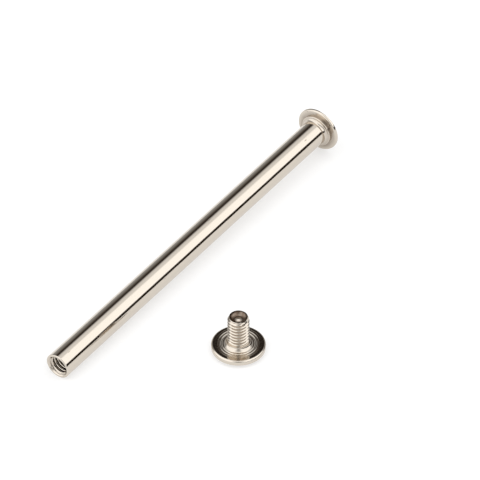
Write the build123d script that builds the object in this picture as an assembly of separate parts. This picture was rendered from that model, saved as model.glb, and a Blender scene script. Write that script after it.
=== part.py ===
"""Binding barrel screw, taken apart: a nickel-plated steel barrel with a blind tapped hole, and its short screw.

The barrel lies on its side, carried by the edge of its mouth and the rim of its head. The screw stands beside it on
its domed head, thread upwards. Both stand on z = 0, the barrel runs along +X from mouth to head, and the origin is
below the middle of the pair. Lengths are millimetres.
"""

from build123d import *
import os
from math import asin, atan2, cos, degrees, hypot, radians, sin, sqrt, tan

# --- barrel ---
barrel_diameter = 5.0  # outside of the tube
barrel_length = 80.0  # mouth to the underside of the head
mouth_edge_round = 0.15  # outer edge of the mouth
barrel_head_diameter = 9.0
barrel_rim_height = 0.5  # cylindrical edge of the head
barrel_dome_height = 0.9  # rise of the domed face over the rim
collar_margin = 0.75  # collar radius beyond the tube
collar_height = 0.5  # collar under the head
neck_fillet = 0.6  # hollow fillet from the tube to the collar

# --- thread, shared by the barrel and the screw ---
thread_diameter = 4.0
thread_pitch = 0.7
thread_depth_in_barrel = 12.0  # full thread, from the mouth
mouth_countersink_margin = 0.12  # countersink radius beyond the thread
drill_point_angle = 118.0  # degrees, bottom of the tapped hole
countersink_angle = 90.0  # degrees

# --- screw ---
screw_head_diameter = 10.0
screw_rim_height = 0.9
screw_dome_height = 0.7
screw_shank_length = 6.5  # underside of the head to the tip
tip_chamfer_width = 0.3  # taken off the radius at the tip
tip_chamfer_height = 0.55
root_fillet = 0.85  # hollow flare between the shank and the underside
cup_margin = 0.12  # ring left around the dished tip
cup_depth = 0.7

# --- edges of both heads ---
head_edge_round = 0.34

# --- drives ---
slot_width = 1.05
slot_end_margin = 0.65  # rim left uncut beyond each end of the slot
screw_slot_turn = 72.0  # degrees, direction of the screw's slot about its axis
barrel_slot_turn = 35.0  # degrees, the same for the barrel's slot
cross_span = 4.2  # tip to tip of the cross recess, at the dome
cross_arm_width = 1.15
cross_depth = 1.75  # from the top of the dome
cross_arm_taper = 26.5  # degrees, ends of the arms
cross_side_taper = 9.0  # degrees, sides of the arms

# --- lay of the pair on its surface ---
screw_along_barrel = 25.2  # from the barrel's mouth to the screw's axis
screw_beside_barrel = 21.9  # from the barrel's axis to the screw's axis

# The tapped hole is drilled to the thread's inner diameter, which is one pitch under its outer diameter.
tube_radius = barrel_diameter / 2
barrel_head_radius = barrel_head_diameter / 2
screw_head_radius = screw_head_diameter / 2
thread_radius = thread_diameter / 2
hole_radius = (thread_diameter - thread_pitch) / 2
collar_radius = tube_radius + collar_margin


def dome_radius(head_radius, height):
    """Radius of the sphere whose cap is height tall on a circle of head_radius."""
    return (head_radius**2 + height**2) / (2 * height)


def dome_drop(head_radius, height, reach):
    """How far a dome has fallen below its top at the distance reach from its axis."""
    sphere = dome_radius(head_radius, height)
    return sphere - sqrt(sphere**2 - reach**2)


def turned(profile):
    """Solid of revolution about X. The profile is a closed wire in the XY plane, with y as the radius."""
    return revolve(make_face(profile), axis=Axis.X)


def head_outline(base, collar, head_radius, rim_height, dome_height):
    """Edges of a head from its collar out over the rim and up the dome to the axis.

    base is the x of the underside, and collar is the radius where the underside starts.
    """
    edge = head_edge_round
    top = base + rim_height + dome_height
    dome_start = base + rim_height
    sphere = dome_radius(head_radius, dome_height)
    half_angle = asin(head_radius / sphere) / 2
    dome_middle = (top - sphere + sphere * cos(half_angle), sphere * sin(half_angle))
    return [
        Line((base, collar), (base, head_radius - edge)),
        CenterArc((base + edge, head_radius - edge), edge, 180, -90),
        Line((base + edge, head_radius), (dome_start, head_radius)),
        ThreePointArc((dome_start, head_radius), dome_middle, (top, 0)),
    ]


def barrel_blank():
    """The turned barrel along +X from its mouth at x = 0, with its blind hole and its plain head."""
    countersink_radius = thread_radius + mouth_countersink_margin
    countersink_depth = (countersink_radius - hole_radius) / tan(radians(countersink_angle / 2))
    drill_point = hole_radius / tan(radians(drill_point_angle / 2))
    edge = mouth_edge_round
    collar_face = barrel_length - collar_height
    neck_start = collar_face - neck_fillet
    collar_edge = min(collar_height, collar_margin - neck_fillet)
    inside = [
        Line((thread_depth_in_barrel + drill_point, 0), (thread_depth_in_barrel, hole_radius)),
        Line((thread_depth_in_barrel, hole_radius), (countersink_depth, hole_radius)),
        Line((countersink_depth, hole_radius), (0, countersink_radius)),
        Line((0, countersink_radius), (0, tube_radius - edge)),
    ]
    tube = [
        CenterArc((edge, tube_radius - edge), edge, 180, -90),
        Line((edge, tube_radius), (neck_start, tube_radius)),
        CenterArc((neck_start, tube_radius + neck_fillet), neck_fillet, -90, 90),
        CenterArc((collar_face + collar_edge, collar_radius - collar_edge), collar_edge, 180, -90),
        Line((collar_face + collar_edge, collar_radius), (barrel_length, collar_radius)),
    ]
    head = head_outline(barrel_length, collar_radius, barrel_head_radius, barrel_rim_height, barrel_dome_height)
    top = barrel_length + barrel_rim_height + barrel_dome_height
    axis_line = Line((top, 0), (thread_depth_in_barrel + drill_point, 0))
    return turned(inside + tube + head + [axis_line])


def screw_blank():
    """The turned screw along +X: the underside of its head at x = 0, the domed face at -X and the tip at +X."""
    tip = screw_shank_length
    tip_radius = thread_radius - tip_chamfer_width
    cup_radius = tip_radius - cup_margin
    cup_sphere = dome_radius(cup_radius, cup_depth)
    cup_half_angle = asin(cup_radius / cup_sphere) / 2
    cup_middle = (
        tip - cup_depth + cup_sphere - cup_sphere * cos(cup_half_angle),
        cup_sphere * sin(cup_half_angle),
    )
    head = [
        edge.mirror(Plane.YZ)
        for edge in head_outline(0, thread_radius + root_fillet, screw_head_radius, screw_rim_height, screw_dome_height)
    ]
    shank = [
        CenterArc((root_fillet, thread_radius + root_fillet), root_fillet, 180, 90),
        Line((root_fillet, thread_radius), (tip - tip_chamfer_height, thread_radius)),
        Line((tip - tip_chamfer_height, thread_radius), (tip, tip_radius)),
        Line((tip, tip_radius), (tip, cup_radius)),
        ThreePointArc((tip, cup_radius), cup_middle, (tip - cup_depth, 0)),
    ]
    head_top = -(screw_rim_height + screw_dome_height)
    return turned(head + shank + [Line((tip - cup_depth, 0), (head_top, 0))])


def slot_cutter(head_radius, dome_height):
    """Straight slot for a head whose domed face looks up, its top at z = 0. The floor is flat, so it ends on the dome."""
    floor = dome_drop(head_radius, dome_height, head_radius - slot_end_margin)
    return Box(2 * head_radius, slot_width, floor, align=(Align.CENTER, Align.CENTER, Align.MAX))


def cross_outline(span, width):
    """A plus-shaped face of two crossed bars."""
    return Rectangle(span, width) + Rectangle(width, span)


def cross_cutter():
    """Tapered cross recess for a domed face that looks up with its top at z = 0."""
    floor_span = cross_span - 2 * cross_depth * tan(radians(cross_arm_taper))
    floor_width = cross_arm_width - 2 * cross_depth * tan(radians(cross_side_taper))
    faces = [cross_outline(cross_span, cross_arm_width), Pos(0, 0, -cross_depth) * cross_outline(floor_span, floor_width)]
    return loft(faces)


# --- build both pieces in their own frames, heads cut ---
barrel_top = barrel_length + barrel_rim_height + barrel_dome_height
face_of_barrel = Location((barrel_top, 0, 0), (0, 90, 0))
barrel_slot = slot_cutter(barrel_head_radius, barrel_dome_height).rotate(Axis.Z, barrel_slot_turn)
barrel = barrel_blank() - face_of_barrel * barrel_slot

screw_head_height = screw_rim_height + screw_dome_height
upright_screw = Location((0, 0, screw_head_height), (0, -90, 0)) * screw_blank()
drive = slot_cutter(screw_head_radius, screw_dome_height) + cross_cutter()
screw = upright_screw - Location((0, 0, 0), (180, 0, screw_slot_turn)) * drive

# The recess takes away the top of the dome, so the screw stands on the four inner corners that are left.
inner_corner = hypot(cross_arm_width / 2, max(cross_arm_width, slot_width) / 2)
screw_seat = dome_drop(screw_head_radius, screw_dome_height, inner_corner)

# --- lay the barrel down: the surface touches the round of its mouth and the round of its rim ---
mouth_centre = (mouth_edge_round, tube_radius - mouth_edge_round)
rim_centre = (barrel_length + head_edge_round, barrel_head_radius - head_edge_round)
run = rim_centre[0] - mouth_centre[0]
rise = rim_centre[1] - mouth_centre[1]
barrel_tilt = atan2(rise, run) + asin((head_edge_round - mouth_edge_round) / hypot(run, rise))
mouth_height = mouth_centre[1] * cos(barrel_tilt) - mouth_centre[0] * sin(barrel_tilt) + mouth_edge_round
barrel = Location((0, 0, mouth_height), (0, -degrees(barrel_tilt), 0)) * barrel
screw = Pos(screw_along_barrel, -screw_beside_barrel, -screw_seat) * screw

# --- put the origin below the middle of the pair ---
extent = Compound([barrel.solid(), screw.solid()]).bounding_box()
to_middle = Pos(-(extent.min.X + extent.max.X) / 2, -(extent.min.Y + extent.max.Y) / 2, 0)

os.makedirs("parts", exist_ok=True)
for name, piece in {"barrel": barrel, "screw": screw}.items():
    placed = (to_middle * piece).solid()
    export_step(placed, f"parts/{name}.step")
    box = placed.bounding_box()
    print(name, "volume", round(placed.volume, 3), "from", box.min, "to", box.max)
print("origin from the mouth:", to_middle.position, "barrel tilt", round(degrees(barrel_tilt), 4), "mouth", mouth_height)
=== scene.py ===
"""Binding barrel and its screw, taken apart on a pale table.

Both are steel with bright nickel plate. A piece's own sizes are in millimetres, and its mesh is in metres.
"""

import logging
from dataclasses import dataclass, field
from enum import Enum
from math import asin, atan2, cos, degrees, hypot, pi, radians, sin, tan
from typing import Any

import bmesh
import bpy
import numpy as np
from mathutils import Matrix, Vector


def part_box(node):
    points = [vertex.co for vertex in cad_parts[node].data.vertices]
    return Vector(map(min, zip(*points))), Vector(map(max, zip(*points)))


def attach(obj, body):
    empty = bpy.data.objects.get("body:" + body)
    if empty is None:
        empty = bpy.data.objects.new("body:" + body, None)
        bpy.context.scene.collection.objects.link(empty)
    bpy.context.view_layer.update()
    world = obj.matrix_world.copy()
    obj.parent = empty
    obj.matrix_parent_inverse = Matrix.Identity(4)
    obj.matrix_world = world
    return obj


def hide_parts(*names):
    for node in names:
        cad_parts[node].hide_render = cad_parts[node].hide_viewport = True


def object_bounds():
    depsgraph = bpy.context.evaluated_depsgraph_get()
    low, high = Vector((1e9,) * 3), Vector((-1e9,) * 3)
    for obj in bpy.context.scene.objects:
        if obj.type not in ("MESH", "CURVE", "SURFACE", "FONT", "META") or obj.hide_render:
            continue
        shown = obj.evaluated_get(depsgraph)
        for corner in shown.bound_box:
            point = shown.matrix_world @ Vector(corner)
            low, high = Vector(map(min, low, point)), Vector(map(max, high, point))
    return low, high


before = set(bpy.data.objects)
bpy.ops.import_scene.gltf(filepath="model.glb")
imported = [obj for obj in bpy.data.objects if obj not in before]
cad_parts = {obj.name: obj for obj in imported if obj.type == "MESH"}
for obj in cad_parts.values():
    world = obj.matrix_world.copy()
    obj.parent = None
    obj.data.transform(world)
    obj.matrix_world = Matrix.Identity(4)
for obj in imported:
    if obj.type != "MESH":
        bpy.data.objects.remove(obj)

CAD_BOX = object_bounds()
MM = 0.001
# Metres within which points of two patches are one.
WELD = 4e-8
# Least divisor.
TINY = 1e-6
WHITE = (1.0, 1.0, 1.0, 1.0)
Point = tuple[float, float]
Stops = tuple[Point, ...]
Strip = tuple[np.ndarray, np.ndarray, np.ndarray]
LOG = logging.getLogger("binding_barrel")


class Marks(Enum):
    """How the steel was worked before it was plated."""

    DRAWN = "drawn along the tube"
    TURNED = "turned and rolled about the axis"


def add_object(name: str, data: Any) -> bpy.types.Object:
    """Puts a new object with its mesh or camera in the scene."""
    made = bpy.data.objects.new(name, data)
    bpy.context.scene.collection.objects.link(made)
    return made


# ---- nodes ----


def linear(code: str) -> tuple[float, float, float, float]:
    """Turns an sRGB hex colour into linear light.

    Args:
        code: six hex digits.

    Returns:
        Red, green, blue and an alpha of one. Each channel is c / 12.92 below 0.04045, and
        ((c + 0.055) / 1.055) ^ 2.4 above it.
    """
    channels = [int(code[i : i + 2], 16) / 255 for i in (0, 2, 4)]
    red, green, blue = (c / 12.92 if c <= 0.04045 else ((c + 0.055) / 1.055) ** 2.4 for c in channels)
    return red, green, blue, 1.0


def bare_tree(owner: Any) -> Any:
    """Turns on the nodes of a material or a world and gives back its emptied tree."""
    owner.use_nodes = True
    owner.node_tree.nodes.clear()
    return owner.node_tree


def add_node(
    tree: Any, kind: str, values: dict | None = None, links: dict | None = None, **settings: Any
) -> Any:
    """Adds one node with its settings, socket values and links.

    Args:
        tree: the node tree.
        kind: the node's type name.
        values: socket name or number to constant.
        links: socket name or number to the output socket that feeds it.
        settings: properties of the node itself.

    Returns:
        The new node.
    """
    made = tree.nodes.new(kind)
    for name, value in settings.items():
        setattr(made, name, value)
    for socket, value in (values or {}).items():
        made.inputs[socket].default_value = value
    for socket, source in (links or {}).items():
        tree.links.new(source, made.inputs[socket])
    return made


def set_ramp(ramp: Any, stops: Stops) -> None:
    """Gives a grey ramp its stops.

    Args:
        ramp: a Color Ramp node.
        stops: position from 0 to 1 and grey level, in order.
    """
    elements = ramp.color_ramp.elements
    while len(elements) < len(stops):
        elements.new(1.0)
    for element, (place, level) in zip(elements, stops):
        element.position = place
        element.color = (level, level, level, 1.0)


@dataclass(frozen=True)
class Span:
    """A level that changes from low to high while something goes from start to end, and holds past both."""

    start: float
    end: float
    low: float = 0.0
    high: float = 1.0

    @property
    def limits(self) -> dict[str, float]:
        """The span as the socket values of a Map Range node."""
        return {"From Min": self.start, "From Max": self.end, "To Min": self.low, "To Max": self.high}


# ---- finishes ----


@dataclass(frozen=True)
class BrightNickel:
    """Bright electroplated nickel on steel: a warm mirror, a little yellow beside chrome.

    The plate follows the marks of the steel under it, so the mirror is slightly wavy and carries faint
    lines and small nicks from tumbling in bulk. Grooves, recesses and the corners under heads carry a
    brown painted shade, darker where less light reaches. Sizes named mm are in millimetres, and heights
    and depths are in metres. On the drawn tube, the patterns are longer by one over their stretch.
    """

    name: str
    marks: Marks
    plate: str = "CFC6BA"
    # Brown of the painted shade in grooves, recesses and under heads; nicks take on this brown too.
    painted_shade: str = "5C4838"
    roughness: float = 0.085
    # Extra roughness where the painted shade lies.
    painted_shade_roughness: float = 0.26
    grain_mm: float = 0.35
    wave_mm: float = 7.0
    wave_height: float = 35e-6
    wave_stretch: float = 0.22
    line_mm: float = 0.16
    line_height: float = 1.1e-6
    line_stretch: float = 0.03
    nick_mm: float = 1.5
    nick_depth: float = 12e-6
    nick_area_mm: float = 4.0
    nick_dullness: float = 0.6
    # Size of the slow patches that make the painted shade uneven.
    painted_shade_patch_mm: float = 2.6

    def material(self, place: Matrix) -> bpy.types.Material:
        """Builds the node material.

        Args:
            place: the piece's own frame in the row frame, with its axis along X.

        Returns:
            The material, whose patterns run along and about the piece's axis.
        """
        made = bpy.data.materials.new(self.name)
        tree = bare_tree(made)
        coords = add_node(tree, "ShaderNodeTexCoord")
        turn = place.inverted().to_euler("XYZ")
        back = place.inverted().translation
        undo = {"Location": back, "Rotation": turn}
        own = add_node(tree, "ShaderNodeMapping", undo, {"Vector": coords.outputs["Object"]}).outputs[0]
        # Millimetres of the piece's own frame, so that each scale is one over a size in millimetres.
        scale = {"Scale": 1 / MM}
        mm = add_node(tree, "ShaderNodeVectorMath", scale, {0: own}, operation="SCALE").outputs[0]
        pull = {1: (self.wave_stretch if self.marks is Marks.DRAWN else 1.0, 1.0, 1.0)}
        along = add_node(tree, "ShaderNodeVectorMath", pull, {0: mm}, operation="MULTIPLY").outputs[0]
        nick = self.nicks(tree, mm, along)
        dull = self.dullness(tree, mm, nick)
        # The plate's colour, turned brown by the painted shade in recesses and by the nicks.
        ends = {"A": linear(self.plate), "B": linear(self.painted_shade)}
        colour = add_node(tree, "ShaderNodeMix", ends, {"Factor": dull}, data_type="RGBA")
        shader = add_node(
            tree,
            "ShaderNodeBsdfPrincipled",
            {"Metallic": 1.0},
            {
                "Base Color": colour.outputs["Result"],
                "Roughness": self.polish(tree, mm, dull),
                "Normal": self.relief(tree, mm, along, nick),
            },
        )
        add_node(tree, "ShaderNodeOutputMaterial", links={"Surface": shader.outputs[0]})
        return made

    def nicks(self, tree: Any, mm: Any, along: Any) -> Any:
        """Small dents from tumbling: the middles of cells, in areas where a slow noise allows them.

        Args:
            tree: the node tree.
            mm: place in the piece, in millimetres.
            along: the same, stretched along the axis where drawn.

        Returns:
            The output that is one in a nick and zero elsewhere.
        """
        near, allowed = Span(0.03, 0.10, low=1.0, high=0.0), Span(0.50, 0.62)
        strewn = {"Scale": 1 / self.nick_mm, "Randomness": 1.0}
        cells = add_node(tree, "ShaderNodeTexVoronoi", strewn, {"Vector": along})
        spots = add_node(tree, "ShaderNodeMapRange", near.limits, {"Value": cells.outputs["Distance"]})
        slow = {"Scale": 1 / self.nick_area_mm, "Detail": 1.0}
        area = add_node(tree, "ShaderNodeTexNoise", slow, {"Vector": mm})
        gate = add_node(tree, "ShaderNodeMapRange", allowed.limits, {"Value": area.outputs["Fac"]})
        both = {0: spots.outputs[0], 1: gate.outputs[0]}
        return add_node(tree, "ShaderNodeMath", links=both, operation="MULTIPLY").outputs[0]

    def dullness(self, tree: Any, mm: Any, nick: Any) -> Any:
        """How far the brown painted shade in recesses and the nicks hide the plate: shade * patches +
        nick_dullness * nick, from 0 to 1.

        Args:
            tree: the node tree.
            mm: place in the piece, in millimetres.
            nick: one in a nick.

        Returns:
            The output with that share.
        """
        # The painted shade that the mesh carries in its recesses, made uneven by slow patches.
        painted_shade = add_node(tree, "ShaderNodeAttribute", attribute_name="painted_shade")
        shade_patch_noise = {"Scale": 1 / self.painted_shade_patch_mm, "Detail": 4.0, "Roughness": 0.6}
        patches = add_node(tree, "ShaderNodeTexNoise", shade_patch_noise, {"Vector": mm})
        shade_patchiness = Span(0.35, 0.70, low=0.55, high=1.0)
        patchy = add_node(tree, "ShaderNodeMapRange", shade_patchiness.limits, {"Value": patches.outputs["Fac"]})
        both = {0: painted_shade.outputs["Fac"], 1: patchy.outputs[0]}
        painted_shade_here = add_node(tree, "ShaderNodeMath", links=both, operation="MULTIPLY")
        return add_node(
            tree,
            "ShaderNodeMath",
            {1: self.nick_dullness},
            {0: nick, 2: painted_shade_here.outputs[0]},
            operation="MULTIPLY_ADD",
            use_clamp=True,
        ).outputs[0]

    def polish(self, tree: Any, mm: Any, dull: Any) -> Any:
        """Roughness: the plate's own, uneven by a fine grain, plus the painted shade's extra roughness *
        dull.

        Args:
            tree: the node tree.
            mm: place in the piece, in millimetres.
            dull: share of painted shade and nicks.

        Returns:
            The output with the roughness.
        """
        fine = {"Scale": 1 / self.grain_mm, "Detail": 3.0, "Roughness": 0.6}
        grain = add_node(tree, "ShaderNodeTexNoise", fine, {"Vector": mm})
        uneven = Span(0.3, 0.7, self.roughness * 0.75, self.roughness * 1.35)
        plain = add_node(tree, "ShaderNodeMapRange", uneven.limits, {"Value": grain.outputs["Fac"]})
        return add_node(
            tree,
            "ShaderNodeMath",
            {1: self.painted_shade_roughness},
            {0: dull, 2: plain.outputs[0]},
            operation="MULTIPLY_ADD",
            use_clamp=True,
        ).outputs[0]

    def relief(self, tree: Any, mm: Any, along: Any, nick: Any) -> Any:
        """The fine relief: a slow wave, lines along the tube or rings about the axis, and nicks.

        Args:
            tree: the node tree.
            mm: place in the piece, in millimetres.
            along: the same, stretched along the axis where drawn.
            nick: one in a nick.

        Returns:
            The output with the bent normal.
        """
        if self.marks is Marks.DRAWN:
            pull = {1: (self.line_stretch, 1.0, 1.0)}
            lines_at = add_node(tree, "ShaderNodeVectorMath", pull, {0: mm}, operation="MULTIPLY")
        else:
            split = add_node(tree, "ShaderNodeSeparateXYZ", links={0: mm})
            side = add_node(tree, "ShaderNodeCombineXYZ", links={1: split.outputs[1], 2: split.outputs[2]})
            reach = add_node(tree, "ShaderNodeVectorMath", links={0: side.outputs[0]}, operation="LENGTH")
            rings = {0: reach.outputs["Value"], 1: split.outputs[0]}
            lines_at = add_node(tree, "ShaderNodeCombineXYZ", links=rings)
        thin = {"Scale": 1 / self.line_mm, "Detail": 1.0}
        lines = add_node(tree, "ShaderNodeTexNoise", thin, {"Vector": lines_at.outputs[0]})
        slow = {"Scale": 1 / self.wave_mm, "Detail": 2.0, "Roughness": 0.45}
        wave = add_node(tree, "ShaderNodeTexNoise", slow, {"Vector": along})
        normal: dict[str, Any] = {}
        for pattern, size, into in (
            (wave.outputs["Fac"], self.wave_height, False),
            (lines.outputs["Fac"], self.line_height, False),
            (nick, self.nick_depth, True),
        ):
            values, links = {"Strength": 1.0, "Distance": size}, {"Height": pattern, **normal}
            normal = {"Normal": add_node(tree, "ShaderNodeBump", values, links, invert=into).outputs[0]}
        return normal["Normal"]


@dataclass(frozen=True)
class TablePaper:
    """Matt white paper off a roll: a pale sheet with no sheen, which takes soft shadows.

    Part of its white is its own glow, seen by the camera and in the metal alike, so the sheet reads as
    white while the light on the pieces stays plain.
    """

    name: str = "matt_white_paper"
    sheet: str = "BEBEBE"
    glow: float = 0.50

    def material(self) -> bpy.types.Material:
        """Builds the node material of the table."""
        made = bpy.data.materials.new(self.name)
        tree = bare_tree(made)
        path = add_node(tree, "ShaderNodeLightPath")
        seen = path.outputs["Is Camera Ray"]
        for ray in ("Is Glossy Ray", "Is Transmission Ray"):
            links = {0: seen, 1: path.outputs[ray]}
            seen = add_node(tree, "ShaderNodeMath", links=links, operation="MAXIMUM").outputs[0]
        strength = add_node(tree, "ShaderNodeMath", {1: self.glow}, {0: seen}, operation="MULTIPLY")
        paper = add_node(tree, "ShaderNodeBsdfDiffuse", {"Color": linear(self.sheet)})
        glow = add_node(tree, "ShaderNodeEmission", {"Color": WHITE}, {"Strength": strength.outputs[0]})
        both = add_node(tree, "ShaderNodeAddShader", links={0: paper.outputs[0], 1: glow.outputs[0]})
        add_node(tree, "ShaderNodeOutputMaterial", links={"Surface": both.outputs[0]})
        return made


# ---- shapes ----


def arc(centre: Point, radius: float, start: float, sweep: float, steps: int) -> np.ndarray:
    """Points on a circle: centre + radius * (cos, sin) of angles spaced evenly over the sweep.

    Args:
        centre: x along the axis and r off it.
        radius: of the circle.
        start: first angle in degrees, from +x towards +r.
        sweep: degrees turned, negative for the other way.
        steps: number of chords.

    Returns:
        Array of steps + 1 rows of (x, r).
    """
    angles = np.radians(start + sweep * np.linspace(0.0, 1.0, steps + 1))
    return np.stack([centre[0] + radius * np.cos(angles), centre[1] + radius * np.sin(angles)], axis=1)


def run(start: Point, end: Point, guard: float = 0.03, most: float = 0.3, steps: int = 1) -> np.ndarray:
    """A straight run from start to end, with a station close to each end so that shading turns only there.

    Args:
        start: first (x, r).
        end: last (x, r).
        guard: distance of the extra stations from the ends.
        most: largest share of the run that a guard takes.
        steps: number of equal parts between them.

    Returns:
        Rows of (x, r): start + t * (end - start), for t at 0, guard, equal steps, 1 - guard and 1.
    """
    first, last = np.array(start, float), np.array(end, float)
    share = min(guard / max(float(np.linalg.norm(last - first)), TINY), most)
    t = np.concatenate([[0.0], np.linspace(share, 1 - share, steps + 1), [1.0]])
    return first + t[:, None] * (last - first)


@dataclass
class Lattice:
    """The surface of one turned piece as grids of bearings about its axis by stations along its outline.

    Each patch gives x and r at every bearing and station, in millimetres. A point is (x, r cos b, r sin b).
    Patches follow each other from pole to pole and share their end stations, so that they weld into one
    closed surface.
    """

    bearings: np.ndarray
    points: list[np.ndarray] = field(default_factory=list)
    painted_shades: list[np.ndarray] = field(default_factory=list)
    faces: list[np.ndarray] = field(default_factory=list)
    count: int = 0

    def patch(self, x: np.ndarray, r: np.ndarray, painted_shade: np.ndarray | float = 0.0, advance: int = 0) -> None:
        """Adds a grid of bearings by stations.

        Args:
            x: distance along the axis, one row per bearing, or one row for all.
            r: distance from the axis, in the same shape.
            painted_shade: brown painted shade, 0 for none and 1 or more for a full cover, in the same shape
                or a constant.
            advance: stations that a helical grid moves on by in one whole turn.
        """
        shape = (len(self.bearings), max(np.shape(x)[-1], np.shape(r)[-1]))
        x, r, painted_shade = (np.broadcast_to(np.asarray(a, float), shape) for a in (x, r, painted_shade))
        b = self.bearings[:, None]
        self.points.append(np.stack([x, r * np.cos(b), r * np.sin(b)], axis=-1).reshape(-1, 3))
        self.painted_shades.append(painted_shade.reshape(-1))
        rows, columns = np.meshgrid(np.arange(shape[0]), np.arange(shape[1] - 1), indexing="ij")
        following = (rows + 1) % shape[0]
        # The last bearing meets the first one turn on. Past a helix's ends, its stations all lie on the end.
        shifted = columns + np.where(rows + 1 == shape[0], advance, 0)
        here = rows * shape[1] + columns
        there, there_next = (
            following * shape[1] + np.clip(shifted + step, 0, shape[1] - 1) for step in (0, 1)
        )
        quads = np.stack([here, there, there_next, here + 1], axis=-1).reshape(-1, 4)
        self.faces.append(quads + self.count)
        self.count += shape[0] * shape[1]

    def outline(self, stations: np.ndarray, painted_shade: np.ndarray | float = 0.0) -> None:
        """Adds a plain turned patch: the same (x, r) stations, each with its painted shade, at every
        bearing.
        """
        self.patch(stations[None, :, 0], stations[None, :, 1], painted_shade)

    def mesh(self, name: str, place: Matrix, crease: float = 38.0) -> bpy.types.Mesh:
        """Welds the patches and puts them in place.

        Args:
            name: of the mesh.
            place: the piece's own frame in the row frame, in metres.
            crease: degrees past which an edge is drawn sharp.

        Returns:
            A closed mesh whose faces point outwards.
        """
        points = np.concatenate(self.points)
        turn = np.array(place.to_3x3())
        points = points * MM @ turn.T + np.array(place.translation)
        made = bpy.data.meshes.new(name)
        made.from_pydata(points.tolist(), [], np.concatenate(self.faces).tolist())
        # Each point carries its share of brown painted shade, for the material to read.
        layer = made.attributes.new("painted_shade", "FLOAT", "POINT")
        layer.data.foreach_set("value", np.concatenate(self.painted_shades).astype(np.float32))
        welded = bmesh.new()
        welded.from_mesh(made)
        bmesh.ops.remove_doubles(welded, verts=welded.verts, dist=WELD)
        if welded.calc_volume(signed=True) < 0:
            bmesh.ops.reverse_faces(welded, faces=welded.faces)
        open_edges = sum(not e.is_manifold for e in welded.edges)
        welded.to_mesh(made)
        welded.free()
        made.shade_smooth()
        made.set_sharp_from_angle(angle=radians(crease))
        triangles = sum(len(p.vertices) - 2 for p in made.polygons)
        LOG.info("%s: %d triangles, %d open edges", name, triangles, open_edges)
        return made


@dataclass(frozen=True)
class Thread:
    """A metric thread as a right-handed helix, with rounded crests and roots.

    The half outline runs from a crest to just before the root, in shares of the pitch and of the depth.
    """

    diameter: float = 4.0
    pitch: float = 0.7
    depth: float = 0.43
    half: Stops = (
        (0.0, 0.0), (0.045, 0.01), (0.085, 0.055), (0.13, 0.17),
        (0.24, 0.51), (0.35, 0.85), (0.40, 0.955), (0.45, 0.995),
    )

    def depths(self) -> tuple[np.ndarray, np.ndarray]:
        """One pitch from a crest to just before the next: the half outline, the root and the half mirrored.

        Returns:
            Position as a share of the pitch, and depth below the crest as a share of the whole depth.
        """
        half = np.array(self.half)
        back = half[1:][::-1]
        place = np.concatenate([half[:, 0], [0.5], 1 - back[:, 0]])
        share = np.concatenate([half[:, 1], [1.0], back[:, 1]])
        return place, share

    def depth_at(self, phase: np.ndarray) -> np.ndarray:
        """Depth below the crest in millimetres at a position in pitches: straight lines between depths()."""
        place, share = self.depths()
        return self.depth * np.interp(phase % 1.0, np.append(place, 1.0), np.append(share, 0.0))

    def stations(self, bearings: np.ndarray, start: float, end: float) -> tuple[np.ndarray, int]:
        """Stations that climb with the helix: x = pitch * (turn + place + bearing / 2 pi), kept to the run.

        Args:
            bearings: angles about the axis, in radians.
            start: where the threaded run begins.
            end: where it ends.

        Returns:
            x for each bearing and station, and how many stations make one turn.
        """
        place, _ = self.depths()
        turns = int(np.ceil((end - start) / self.pitch)) + 1
        steps = (np.arange(-1, turns)[:, None] + place[None, :]).reshape(-1)
        x = start + self.pitch * (steps[None, :] + bearings[:, None] / (2 * pi))
        return np.clip(x, start, end), len(place)


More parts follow.
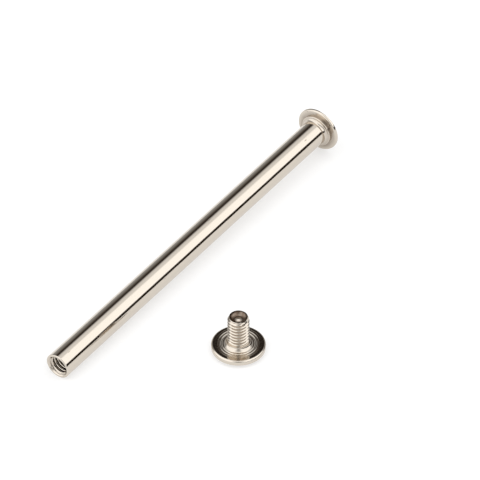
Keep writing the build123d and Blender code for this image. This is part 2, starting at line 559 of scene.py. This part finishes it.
@dataclass(frozen=True)
class DomedFace:
    """The domed face of a head with its straight slot and, on the screw, a cross recess through the slot.

    Depths are measured from the top of the dome into the head. A strip is the distance from the axis, the
    depth and the painted shade at every bearing and at some stations along a ray.
    """

    radius: float
    dome: float
    slot_width: float = 1.05
    end_margin: float = 0.65
    edge_round: float = 0.07
    rim_round: float = 0.12
    rim_lap: float = 0.02
    cross_depth: float = 0.0
    cross_span: float = 4.2
    cross_arm: float = 1.15
    end_taper: float = 26.5
    side_taper: float = 9.0
    # Brown painted shade on the slot's floor and in the cross's recess.
    floor_painted_shade: float = 0.25
    recess_painted_shade: float = 0.75

    @property
    def sphere(self) -> float:
        """Radius of the sphere that the dome is cut from: (radius^2 + dome^2) / (2 dome)."""
        return (self.radius**2 + self.dome**2) / (2 * self.dome)

    @property
    def slot_end(self) -> float:
        """Distance from the axis at which the slot's flat floor runs out on the dome."""
        return self.radius - self.end_margin

    def drop(self, reach: np.ndarray) -> np.ndarray:
        """How far the dome has fallen at a distance from the axis: sphere - sqrt(sphere^2 - reach^2)."""
        return self.sphere - np.sqrt(self.sphere**2 - np.asarray(reach) ** 2)

    def corners(self) -> list[float]:
        """Bearings of the outline's corners in the first quarter, in degrees."""
        found = [degrees(asin(self.slot_width / 2 / self.slot_end))]
        if self.cross_depth:
            half, arm = self.cross_span / 2, self.cross_arm / 2
            low_half = half - self.cross_depth * tan(radians(self.end_taper))
            low_arm = arm - self.cross_depth * tan(radians(self.side_taper))
            tips = [degrees(atan2(arm, half)), degrees(atan2(low_arm, low_half))]
            found += tips + [90 - t for t in tips] + [45.0, degrees(atan2(self.slot_width / 2, arm))]
        return found

    def bearings(self, base: int = 192, least: float = 0.08) -> np.ndarray:
        """Angles about the axis: evenly spaced ones, and a cluster round each corner in every quarter.

        Args:
            base: number of evenly spaced angles.
            least: degrees that part two neighbours at least.

        Returns:
            Sorted angles in radians, the first at the slot's direction.
        """
        cluster = np.array([-0.9, -0.35, 0.0, 0.35, 0.9])
        near = np.add.outer(np.array(self.corners()), cluster).reshape(-1)
        even = np.arange(base) * 360 / base
        every = np.sort(np.concatenate([near, 180 - near, 180 + near, 360 - near, even]) % 360)
        keep = np.concatenate([[True], np.diff(every) > least])
        return np.radians(every[keep])

    def slot_reach(self, b: np.ndarray, grow: np.ndarray | float = 0.0) -> np.ndarray:
        """Where a ray leaves the slot: (half width + grow) / |sin b|, no further than the slot's end."""
        return np.minimum(self.slot_end, (self.slot_width / 2 + grow) / np.maximum(np.abs(np.sin(b)), TINY))

    def cross_reach(
        self, b: np.ndarray, depth: np.ndarray | float, grow: np.ndarray | float = 0.0
    ) -> np.ndarray:
        """Where a ray leaves the cross at a depth: the farther of its exits from two bars.

        Args:
            b: bearings.
            depth: below the top of the dome, with which the bars taper.
            grow: how much wider the bars are on each side.

        Returns:
            Distance from the axis, or nothing without a cross.
        """
        if not self.cross_depth:
            return np.zeros(np.broadcast(b, depth, grow).shape)
        half = self.cross_span / 2 + grow - depth * tan(radians(self.end_taper))
        arm = self.cross_arm / 2 + grow - depth * tan(radians(self.side_taper))
        across = np.maximum(np.abs(np.cos(b)), TINY)
        up = np.maximum(np.abs(np.sin(b)), TINY)
        return np.maximum(np.minimum(half / across, arm / up), np.minimum(arm / across, half / up))

    def recess(self, b: np.ndarray, floor: float) -> list[Strip]:
        """The cross's flat floor and its tapered wall up to the slot's floor.

        The painted shade on the wall is 0.2 + 0.5 * share of the cross's depth, darker deeper down.

        Args:
            b: bearings, as a column.
            floor: depth of the slot's floor.

        Returns:
            Two strips, or the middle of the slot's floor alone without a cross.
        """
        if not self.cross_depth:
            middle = np.zeros_like(b)
            return [(middle, np.full_like(middle, floor), np.full_like(middle, self.floor_painted_shade))]
        inner = self.cross_reach(b, self.cross_depth) * np.array([0.0, 0.5, 0.95, 1.0])
        rise = np.array([[0.03, 0.5, 0.97, 1.0]])
        levels = self.cross_depth + (floor - self.cross_depth) * rise
        wall = self.cross_reach(b, levels)
        # Painted shade on the cross's wall, darker deeper down.
        painted_shade_level = 0.2 + 0.5 * levels / self.cross_depth
        return [
            (inner, np.full_like(inner, self.cross_depth), np.full_like(inner, self.recess_painted_shade)),
            (wall, np.broadcast_to(levels, wall.shape), np.broadcast_to(painted_shade_level, wall.shape)),
        ]

    def brink(self, b: np.ndarray, foot: np.ndarray, floor: float) -> list[Strip]:
        """The wall from the slot's floor up to the dome, its edge rounded by a quarter circle.

        Args:
            b: bearings, as a column.
            foot: where each ray meets the wall.
            floor: depth of the slot's floor.

        Returns:
            Strips of one station. The round is small * (1 - cos t) wide and small * (1 - sin t) deep, and
            its painted shade is 0.12 * (1 - sin t), darkest low on the wall.
        """
        brim = foot
        # The cross widens as it rises, so where it meets the dome is found in two steps.
        for _ in range(2):
            brim = np.maximum(self.cross_reach(b, self.drop(brim)), foot)
        small = np.minimum(self.edge_round, 0.5 * np.maximum(floor - self.drop(brim), 0.0))
        strips: list[Strip] = []
        for turn in np.radians([0.0, 22.5, 45.0, 67.5, 90.0]):
            grow, deep = small * (1 - cos(turn)), small * (1 - sin(turn))
            crossing = self.cross_reach(b, self.drop(brim) + deep, grow)
            edge = np.maximum(np.maximum(crossing, self.slot_reach(b, grow)), foot)
            # Painted shade on the round, darkest low on the wall.
            strips.append((edge, self.drop(edge) + deep, np.full_like(edge, 0.12 * (1 - sin(turn)))))
        return strips

    def surface(self, bearings: np.ndarray) -> Strip:
        """The face from its middle to the start of the rim's round, along rays at each bearing.

        Along a ray come the cross's floor and wall, the slot's floor, the wall up to the dome and its
        rounded edge, and the dome itself. The painted shade on the slot's floor grows by 0.3 * share^4
        towards its wall.

        Args:
            bearings: angles about the axis, measured from the slot.

        Returns:
            Distance from the axis, depth and painted shade, each for every bearing and station.
        """
        b = bearings[:, None]
        floor = float(self.drop(self.slot_end))
        start = self.cross_reach(b, floor)
        foot = np.maximum(start, self.slot_reach(b))
        shares = np.array([[0.04, 0.35, 0.7, 0.96, 1.0]])
        flat = start + (foot - start) * shares
        # Painted shade on the slot's floor, darker into the corner at its wall.
        painted_shade_level = np.broadcast_to(self.floor_painted_shade + 0.3 * shares**4, flat.shape)
        brink = self.brink(b, foot, floor)
        edge, outer = brink[-1][0], self.radius - self.rim_round
        bow = edge + (outer - edge) * np.array([[0.03, 0.15, 0.3, 0.45, 0.6, 0.75, 0.9, 1.0]])
        strips = self.recess(b, floor) + [(flat, np.full_like(flat, floor), painted_shade_level)] + brink
        strips.append((bow, self.drop(bow), np.zeros_like(bow)))
        reach, depth, painted_shade = (np.concatenate(parts, axis=1) for parts in zip(*strips))
        return reach, depth, painted_shade

    def rim_stations(self, outward: float, top: float, flat: float) -> np.ndarray:
        """The rim from the dome's edge over its round to the start of the flat band.

        Args:
            outward: +1 where the dome looks along +x, -1 where it looks along -x.
            top: x of the dome's top.
            flat: x at which the cylindrical band meets the round.

        Returns:
            Rows of (x, r): r = radius - round * (1 - sin t), and x goes from dome to band by 1 - cos t.
        """
        t = np.linspace(0.0, pi / 2, 7)
        begin = top - outward * float(self.drop(self.radius - self.rim_round))
        r = self.radius - self.rim_round * (1 - np.sin(t))
        x = begin + (flat - begin) * (1 - np.cos(t))
        return np.stack([x, r], axis=1)


# ---- pieces ----


@dataclass
class Piece:
    """A turned piece of the pair: its finish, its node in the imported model, and its place."""

    node: str
    slot: str
    finish: BrightNickel

    def place(self) -> Matrix:
        """The piece's own frame in the row frame, its axis along X."""
        raise NotImplementedError

    def lattice(self) -> Lattice:
        """The piece's surface in its own frame."""
        raise NotImplementedError

    def build(self) -> bpy.types.Object:
        """Makes the piece in place of its node, dressed and riding on the row's one body."""
        low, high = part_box(self.node)
        place = self.place()
        mesh = self.lattice().mesh(self.node + "_turned", place)
        corners = np.empty(len(mesh.vertices) * 3, np.float32)
        mesh.vertices.foreach_get("co", corners)
        corners = corners.reshape(-1, 3)
        shift = (low + high) / 2 - Vector((corners.min(0) + corners.max(0)) / 2)
        mesh.transform(Matrix.Translation(shift))
        made = add_object(self.node + "_turned", mesh)
        mesh.materials.append(self.finish.material(Matrix.Translation(shift) @ place))
        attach(made, "root")
        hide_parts(self.node)
        return made


@dataclass
class Barrel(Piece):
    """The long barrel: a tube with a tapped blind hole, a collar, and a domed head with a slot."""

    diameter: float = 5.0
    length: float = 80.0
    mouth_round: float = 0.15
    head_diameter: float = 9.0
    rim: float = 0.5
    dome: float = 0.9
    collar_margin: float = 0.75
    collar: float = 0.5
    collar_round: float = 0.15
    neck: float = 0.6
    head_round: float = 0.34
    thread: Thread = Thread(diameter=4.0, pitch=0.7, depth=0.37)
    threaded: float = 12.0
    thread_fade: float = 0.8
    crest_flat: float = 0.35
    countersink: float = 0.12
    point: float = 118.0
    slot_turn: float = 35.0

    def tilt(self) -> float:
        """Angle at which the barrel lies, on the rounds of its mouth and of its head's rim.

        Returns:
            Radians: the slope of the line between the centres of the two rounds, plus asin(difference of
            their radii over their distance).
        """
        across = self.length + self.head_round - self.mouth_round
        rise = (self.head_diameter / 2 - self.head_round) - (self.diameter / 2 - self.mouth_round)
        return atan2(rise, across) + asin((self.head_round - self.mouth_round) / hypot(across, rise))

    def place(self) -> Matrix:
        """The barrel's frame: X from mouth to head, tilted up by tilt(), and Y along the slot."""
        t, s = self.tilt(), radians(self.slot_turn)
        tilt = Matrix.Rotation(-t, 3, "Y")
        axis = tilt @ Vector((1.0, 0.0, 0.0))
        slot = tilt @ Vector((0.0, sin(s), -cos(s)))
        return Matrix((axis, slot, axis.cross(slot))).transposed().to_4x4()

    def lattice(self) -> Lattice:
        """The surface from the bottom of the hole, out of the mouth and over the tube to the dome."""
        face = DomedFace(radius=self.head_diameter / 2, dome=self.dome)
        grid = Lattice(face.bearings(216))
        self.add_inside(grid)
        self.add_outside(grid, face)
        return grid

    def add_inside(self, grid: Lattice) -> None:
        """The drilled point, the tapped hole and its countersink.

        A turn is cut as deep as (1 + crest_flat) times the thread's own depth there, less crest_flat times
        its whole depth, and never less than nothing, which leaves its crests flat. It fades out at the
        bottom. The wall is the larger of the thread's radius and the countersink's cone, sink - x.
        """
        thread = self.thread
        bore = thread.diameter / 2 - thread.depth
        sink = thread.diameter / 2 + self.countersink
        bottom = self.threaded + bore / tan(radians(self.point / 2))
        # Full painted shade at the bottom of the blind hole.
        grid.outline(run((bottom, 0.0), (self.threaded, bore), steps=3), 1.0)
        x, per_turn = thread.stations(grid.bearings, 0.0, self.threaded)
        phase = x / thread.pitch - grid.bearings[:, None] / (2 * pi)
        below = thread.depth - thread.depth_at(phase + 0.5)
        cut = np.clip((1 + self.crest_flat) * below - self.crest_flat * thread.depth, 0.0, None)
        fade = np.clip((self.threaded - x) / self.thread_fade, 0.0, 1.0)
        wall = np.maximum(bore + cut * fade, sink - x)
        # Painted shade in the hole, darker in the thread's roots and deeper in, fading out over the
        # countersink.
        painted_shade = self.hole_painted_shade(x, (wall - bore) / thread.depth)
        cone = sink - bore
        painted_shade = np.where(x < cone, painted_shade * x / cone, painted_shade)
        grid.patch(x[:, ::-1], wall[:, ::-1], painted_shade[:, ::-1], advance=-per_turn)

    @staticmethod
    def hole_painted_shade(x: np.ndarray, root: np.ndarray, dim: float = 5.0) -> np.ndarray:
        """Brown painted shade in the hole, darker in the roots and deeper in: 0.4 * root + 0.3 * (x /
        dim)^2, where x / dim stops at 1, and 0.8 at most.

        Args:
            x: distance from the mouth.
            root: share of the thread's depth, from 0 on its crests to 1 in its roots.
            dim: distance past which the painted shade is as dark as it gets.

        Returns:
            The painted shade, in the same shape.
        """
        return np.clip(0.4 * root + 0.3 * np.clip(x / dim, 0.0, 1.0) ** 2, 0.0, 0.8)

    def add_outside(self, grid: Lattice, face: DomedFace) -> None:
        """The mouth's ring, the tube, the hollow neck, the collar, the underside, the rim and the dome.

        Brown painted shade grows over the neck and is darkest in the corner between the collar and the
        underside.
        """
        tube, head = self.diameter / 2, self.head_diameter / 2
        sink = self.thread.diameter / 2 + self.countersink
        collar = tube + self.collar_margin
        collar_face = self.length - self.collar
        neck_start = collar_face - self.neck
        edge, small = self.mouth_round, self.collar_round
        grid.outline(run((0.0, sink), (0.0, tube - edge)))
        grid.outline(arc((edge, tube - edge), edge, 180, -90, 6))
        grid.outline(run((edge, tube), (neck_start, tube), steps=6))
        hollow = arc((neck_start, tube + self.neck), self.neck, -90, 90, 12)
        # Painted shade growing over the hollow neck towards the collar, and lighter on the collar.
        grid.outline(hollow, np.linspace(0.0, 0.25, len(hollow)))
        grid.outline(arc((collar_face + small, collar - small), small, 180, -90, 6), 0.08)
        grid.outline(run((collar_face + small, collar), (self.length, collar)), 0.15)
        under = run((self.length, collar), (self.length, head - self.head_round), steps=4)
        # Painted shade on the underside, darkest in the corner at the collar.
        bare = (under[:, 1] - collar) / (head - self.head_round - collar)
        grid.outline(under, 0.75 * (1 - bare))
        rim_start = self.length + self.head_round
        grid.outline(arc((rim_start, head - self.head_round), self.head_round, 180, -90, 8))
        top = self.length + self.rim + self.dome
        band = self.length + self.rim - face.rim_lap
        grid.outline(run((rim_start, head), (band, head)))
        grid.outline(face.rim_stations(1.0, top, band)[::-1])
        reach, depth, painted_shade = face.surface(grid.bearings)
        grid.patch(top - depth[:, ::-1], reach[:, ::-1], painted_shade[:, ::-1])


@dataclass
class BinderScrew(Piece):
    """The short screw on its domed head, with a threaded shank, a dished tip and a slot through a recess."""

    head_diameter: float = 10.0
    rim: float = 0.9
    dome: float = 0.7
    recess_depth: float = 1.75
    shank: float = 6.5
    tip_width: float = 0.3
    tip_height: float = 0.55
    root: float = 0.85
    head_round: float = 0.34
    ring_end: float = 4.3
    ring_spacing: float = 0.52
    ring_height: float = 0.07
    thread: Thread = Thread(diameter=4.0, pitch=0.7, depth=0.43)
    runout: float = 0.55
    thread_fade: float = 0.22
    cup_margin: float = 0.12
    cup: float = 0.7
    bump: float = 0.35
    bump_width: float = 0.4
    slot_turn: float = 72.0

    def place(self) -> Matrix:
        """The screw's frame: X up to the tip, and Y along the slot."""
        s = radians(self.slot_turn)
        axis, slot = Vector((0.0, 0.0, 1.0)), Vector((cos(s), sin(s), 0.0))
        return Matrix((axis, slot, axis.cross(slot))).transposed().to_4x4()

    def lattice(self) -> Lattice:
        """The surface from the middle of the driven face, over the rim and up to the dished tip."""
        face = DomedFace(radius=self.head_diameter / 2, dome=self.dome, cross_depth=self.recess_depth)
        grid = Lattice(face.bearings(180))
        self.add_head(grid, face)
        self.add_thread(grid)
        self.add_tip(grid)
        return grid

    def add_head(self, grid: Lattice, face: DomedFace) -> None:
        """The driven dome, the rim, the ringed underside and the flare into the shank."""
        head, shank, edge = self.head_diameter / 2, self.thread.diameter / 2, self.head_round
        top, band = -(self.rim + self.dome), -self.rim + face.rim_lap
        reach, depth, painted_shade = face.surface(grid.bearings)
        grid.patch(top + depth, reach, painted_shade)
        grid.outline(face.rim_stations(-1.0, top, band))
        grid.outline(run((band, head), (-edge, head)))
        grid.outline(arc((-edge, head - edge), edge, 90, -90, 8))
        grid.outline(self.underside())
        flare = arc((self.root, shank + self.root), self.root, 180, 90, 12)
        # Painted shade growing over the flare towards the shank.
        grid.outline(flare, np.linspace(0.0, 0.15, len(flare)))

    def underside(self, guard: float = 0.02, count: int = 49) -> np.ndarray:
        """The flat underside with the shallow rings that turning left, deepest beside the shank.

        Args:
            guard: distance of an extra station from the edge's round, so that shading turns only there.
            count: number of stations over the rings.

        Returns:
            Rows of (x, r): x = height * (cos(2 pi (r - start) / spacing) - 1) / 2, where height falls off
            evenly to nothing at ring_end.
        """
        start = self.thread.diameter / 2 + self.root
        outer = self.head_diameter / 2 - self.head_round
        r = np.concatenate([[outer, outer - guard], np.linspace(self.ring_end, start, count)])
        height = self.ring_height * np.clip((self.ring_end - r) / (self.ring_end - start), 0.0, 1.0)
        x = height * (np.cos(2 * pi * (r - start) / self.ring_spacing) - 1) / 2
        return np.stack([x, r], axis=1)

    def add_thread(self, grid: Lattice) -> None:
        """The thread, cut by the tip's cone.

        Its depth is the thread's own times (share of the runout)^1.3, and fades again under the tip. The
        radius is the smaller of the thread's and the cone's. The painted shade is 0.35 * (share of the
        depth)^2, darkest in the roots.
        """
        thread = self.thread
        crest = thread.diameter / 2
        x, per_turn = thread.stations(grid.bearings, self.root, self.shank)
        phase = (x - self.root) / thread.pitch - grid.bearings[:, None] / (2 * pi)
        begin = np.clip((x - self.root) / self.runout, 0.0, 1.0)
        finish = np.clip((self.shank - x) / self.thread_fade, 0.0, 1.0)
        depth = thread.depth_at(phase) * begin**1.3 * finish
        cone = crest - self.tip_width * np.clip(1 - (self.shank - x) / self.tip_height, 0.0, 1.0)
        # Painted shade in the thread's roots.
        painted_shade = 0.35 * (depth / thread.depth) ** 2
        grid.patch(x, np.minimum(crest - depth, cone), painted_shade, advance=per_turn)

    def add_tip(self, grid: Lattice) -> None:
        """The ring round the tip and the dish inside it, with the low bump that cold heading leaves.

        The bowl's share of depth is (1 - s^4)^0.7 - bump * exp(-(s / bump_width)^2), where s is the share
        of its radius. Its painted shade is 1.3 - 1.25 exp(-(s / bump_width)^4), so that the top of the bump
        is bare.
        """
        tip = self.thread.diameter / 2 - self.tip_width
        dish = tip - self.cup_margin
        grid.outline(run((self.shank, tip), (self.shank, dish)))
        # Stations crowd over the steep wall, the outer share of the radius.
        wall = 0.3
        near, far = 1 - wall * np.linspace(0.0, 1.0, 12) ** 2, np.linspace(1 - wall, 0.0, 20)
        s = np.concatenate([near, far[1:]])
        share = (1 - s**4) ** 0.7 - self.bump * np.exp(-((s / self.bump_width) ** 2))
        share[0] = 0.0
        bowl = np.stack([self.shank - self.cup * share, dish * s], axis=1)
        # Painted shade over the dish, left off the top of the bump.
        grid.outline(bowl, 1.3 - 1.25 * np.exp(-((s / self.bump_width) ** 4)))


# ---- studio ----


@dataclass
class Studio:
    """The pale table, the soft light round it, and the camera.

    The light is a tent of white cloth. Its window, the bright part, is overhead and in front. Its ceiling
    goes on behind the object and ends there. A dim seam hangs in the middle of the front, and the hem is a
    sill that is higher on the right. Round it are grey walls, brightest just above the table and darker as
    they rise and on the right, and two grey panels behind, on both sides.
    """

    # The camera, in degrees and millimetres. Its aim is on the table, from the middle of the pair.
    azimuth: float = -53.426
    elevation: float = 41.272
    distance: float = 768.41
    lens: float = 307.70
    aim: Point = (8.962, 7.068)
    # The table, in metres.
    table_radius: float = 4.0
    table_gap: float = 2e-6
    table_sides: int = 64
    # The light, in brightness over parts of a direction.
    walls: Stops = (
        (0.0, 0.30), (0.04, 0.46), (0.17, 0.41), (0.33, 0.30), (0.476, 0.19), (0.592, 0.075), (0.671, 0.018),
    )
    corner: Span = Span(0.20, 0.60, low=1.0, high=0.08)
    ceiling: Stops = ((0.12, 0.02), (0.18, 0.1428), (0.245, 0.714), (0.30, 0.9894), (0.42, 1.02))
    ceiling_lean: Point = (0.8, 0.6)
    window: Span = Span(0.55, 0.30, high=1.62)
    seam: Span = Span(0.06, 0.44, low=0.34)
    front: Span = Span(-0.08, -0.30)
    sill: Span = Span(0.11, 0.17)
    sill_slope: float = 0.16
    panels: Span = Span(0.14, 0.34, high=0.42)
    panel_foot: Span = Span(0.32, 0.46)
    dim_tint: tuple[float, float, float, float] = (1.0, 0.80, 0.64, 1.0)
    dim: Span = Span(0.04, 0.30)

    def directions(self) -> tuple[Vector, Vector]:
        """Unit vectors to the right of the view and away from it, both level."""
        a = radians(self.azimuth)
        return Vector((cos(a), sin(a), 0.0)), Vector((-sin(a), cos(a), 0.0))

    def table(self) -> bpy.types.Object:
        """A flat round sheet just under the object: rings at table_radius * share, closed at the middle."""
        shares, sides = np.array([0.02, 0.1, 0.4, 1.0]), self.table_sides
        b = np.linspace(0.0, 2 * pi, sides, endpoint=False)
        ring = np.stack([np.cos(b), np.sin(b), np.zeros_like(b)], axis=1)
        points = np.concatenate([[[0.0, 0.0, 0.0]]] + [ring * s * self.table_radius for s in shares])
        points[:, 2] = float(CAD_BOX[0].z) - self.table_gap
        here = np.arange(sides) + 1
        beside = np.roll(here, -1)
        faces = np.stack([np.zeros_like(here), here, beside], axis=1).tolist()
        for k in range(len(shares) - 1):
            inner, outer = k * sides, (k + 1) * sides
            faces += np.stack([here + inner, here + outer, beside + outer, beside + inner], axis=1).tolist()
        mesh = bpy.data.meshes.new("table")
        mesh.from_pydata(points.tolist(), [], faces)
        mesh.materials.append(TablePaper().material())
        made = add_object("table", mesh)
        return made

    def light(self) -> bpy.types.World:
        """The soft light, as a brightness for each direction.

        Returns:
            The world. A direction of length 1 has a height, a part that points right and one that points
            away, and its brightness is the largest of the walls', the panels' and the tent's. The walls are
            a ramp over height, times the corner over right. The panels are a span over right, either way,
            times one over height. The tent is the larger of the ceiling, a ramp over 0.8 height - 0.6 away,
            and the window, a span over away. That is times the seam, over right, either way, and only in
            front, and times the sill, over height - sill_slope * right. What is dim is warm.
        """
        right, away = self.directions()
        world = bpy.data.worlds.new("studio")
        tree = bare_tree(world)
        toward = add_node(tree, "ShaderNodeTexCoord").outputs["Generated"]
        up = Vector((0.0, 0.0, 1.0))
        lean = self.ceiling_lean[0] * up - self.ceiling_lean[1] * away
        height, rightward, backward, over = (
            add_node(
                tree, "ShaderNodeVectorMath", {1: tuple(way)}, {0: toward}, operation="DOT_PRODUCT"
            ).outputs["Value"]
            for way in (up, right, away, lean)
        )
        aside = add_node(tree, "ShaderNodeMath", links={0: rightward}, operation="ABSOLUTE").outputs[0]
        slope = {1: -self.sill_slope}
        tilted = {0: rightward, 2: height}
        rise = add_node(tree, "ShaderNodeMath", slope, tilted, operation="MULTIPLY_ADD").outputs[0]
        window, seam, front, sill, panels, panel_foot = (
            add_node(
                tree, "ShaderNodeMapRange", span.limits, {"Value": part}, interpolation_type="SMOOTHSTEP"
            ).outputs[0]
            for span, part in (
                (self.window, backward),
                (self.seam, aside),
                (self.front, backward),
                (self.sill, rise),
                (self.panels, aside),
                (self.panel_foot, height),
            )
        )
        walls = add_node(tree, "ShaderNodeValToRGB", links={0: height})
        set_ramp(walls, self.walls)
        ceiling = add_node(tree, "ShaderNodeValToRGB", links={0: over})
        set_ramp(ceiling, self.ceiling)
        corner = add_node(tree, "ShaderNodeMapRange", self.corner.limits, {"Value": rightward}).outputs[0]
        plain = add_node(tree, "ShaderNodeMix", {"A": 1.0}, {"Factor": front, "B": seam}).outputs["Result"]
        tent = ceiling.outputs[0]
        for level, operation in ((window, "MAXIMUM"), (plain, "MULTIPLY"), (sill, "MULTIPLY")):
            mixed = add_node(tree, "ShaderNodeMath", links={0: tent, 1: level}, operation=operation)
            tent = mixed.outputs[0]
        panel = add_node(tree, "ShaderNodeMath", links={0: panels, 1: panel_foot}, operation="MULTIPLY")
        total = walls.outputs[0]
        for level, operation in ((corner, "MULTIPLY"), (panel.outputs[0], "MAXIMUM"), (tent, "MAXIMUM")):
            mixed = add_node(tree, "ShaderNodeMath", links={0: total, 1: level}, operation=operation)
            total = mixed.outputs[0]
        dim = add_node(tree, "ShaderNodeMapRange", self.dim.limits, {"Value": total})
        ends = {"A": self.dim_tint, "B": WHITE}
        tint = add_node(tree, "ShaderNodeMix", ends, {"Factor": dim.outputs[0]}, data_type="RGBA")
        light = {"Color": tint.outputs["Result"], "Strength": total}
        sky = add_node(tree, "ShaderNodeBackground", links=light)
        add_node(tree, "ShaderNodeOutputWorld", links={"Surface": sky.outputs[0]})
        bpy.context.scene.world = world
        return world

    def camera(self) -> bpy.types.Object:
        """The camera: distance from a point on the table, at an azimuth and an elevation above it."""
        low, high = CAD_BOX
        centre = (low + high) / 2
        aim = Vector((centre.x + self.aim[0] * MM, centre.y + self.aim[1] * MM, low.z))
        a, e = radians(self.azimuth), radians(self.elevation)
        back = Vector((sin(a) * cos(e), -cos(a) * cos(e), sin(e)))
        data = bpy.data.cameras.new("camera")
        data.lens = self.lens
        data.sensor_width = 36.0
        data.clip_start, data.clip_end = 0.01, 50.0
        made = add_object("camera", data)
        made.location = aim + back * self.distance * MM
        made.rotation_mode = "QUATERNION"
        made.rotation_quaternion = (-back).to_track_quat("-Z", "Y")
        bpy.context.scene.camera = made
        return made


def main() -> None:
    """Builds the pair, the table, the light and the camera."""
    logging.basicConfig(level=logging.INFO, format="%(name)s %(message)s")
    bpy.context.scene.view_settings.view_transform = "Standard"
    tube_plate = BrightNickel("bright_nickel_plate_drawn_tube", Marks.DRAWN)
    screw_plate = BrightNickel("bright_nickel_plate_turned_screw", Marks.TURNED)
    pieces: list[Piece] = [
        Barrel("barrel", "nickel_plate_barrel", tube_plate),
        BinderScrew("screw", "nickel_plate_screw", screw_plate),
    ]
    for piece in pieces:
        made = piece.build()
        LOG.info("%s stands for %s, %d vertices", made.name, piece.node, len(made.data.vertices))
    studio = Studio()
    studio.table()
    studio.light()
    studio.camera()


if __name__ == "__main__":
    main()
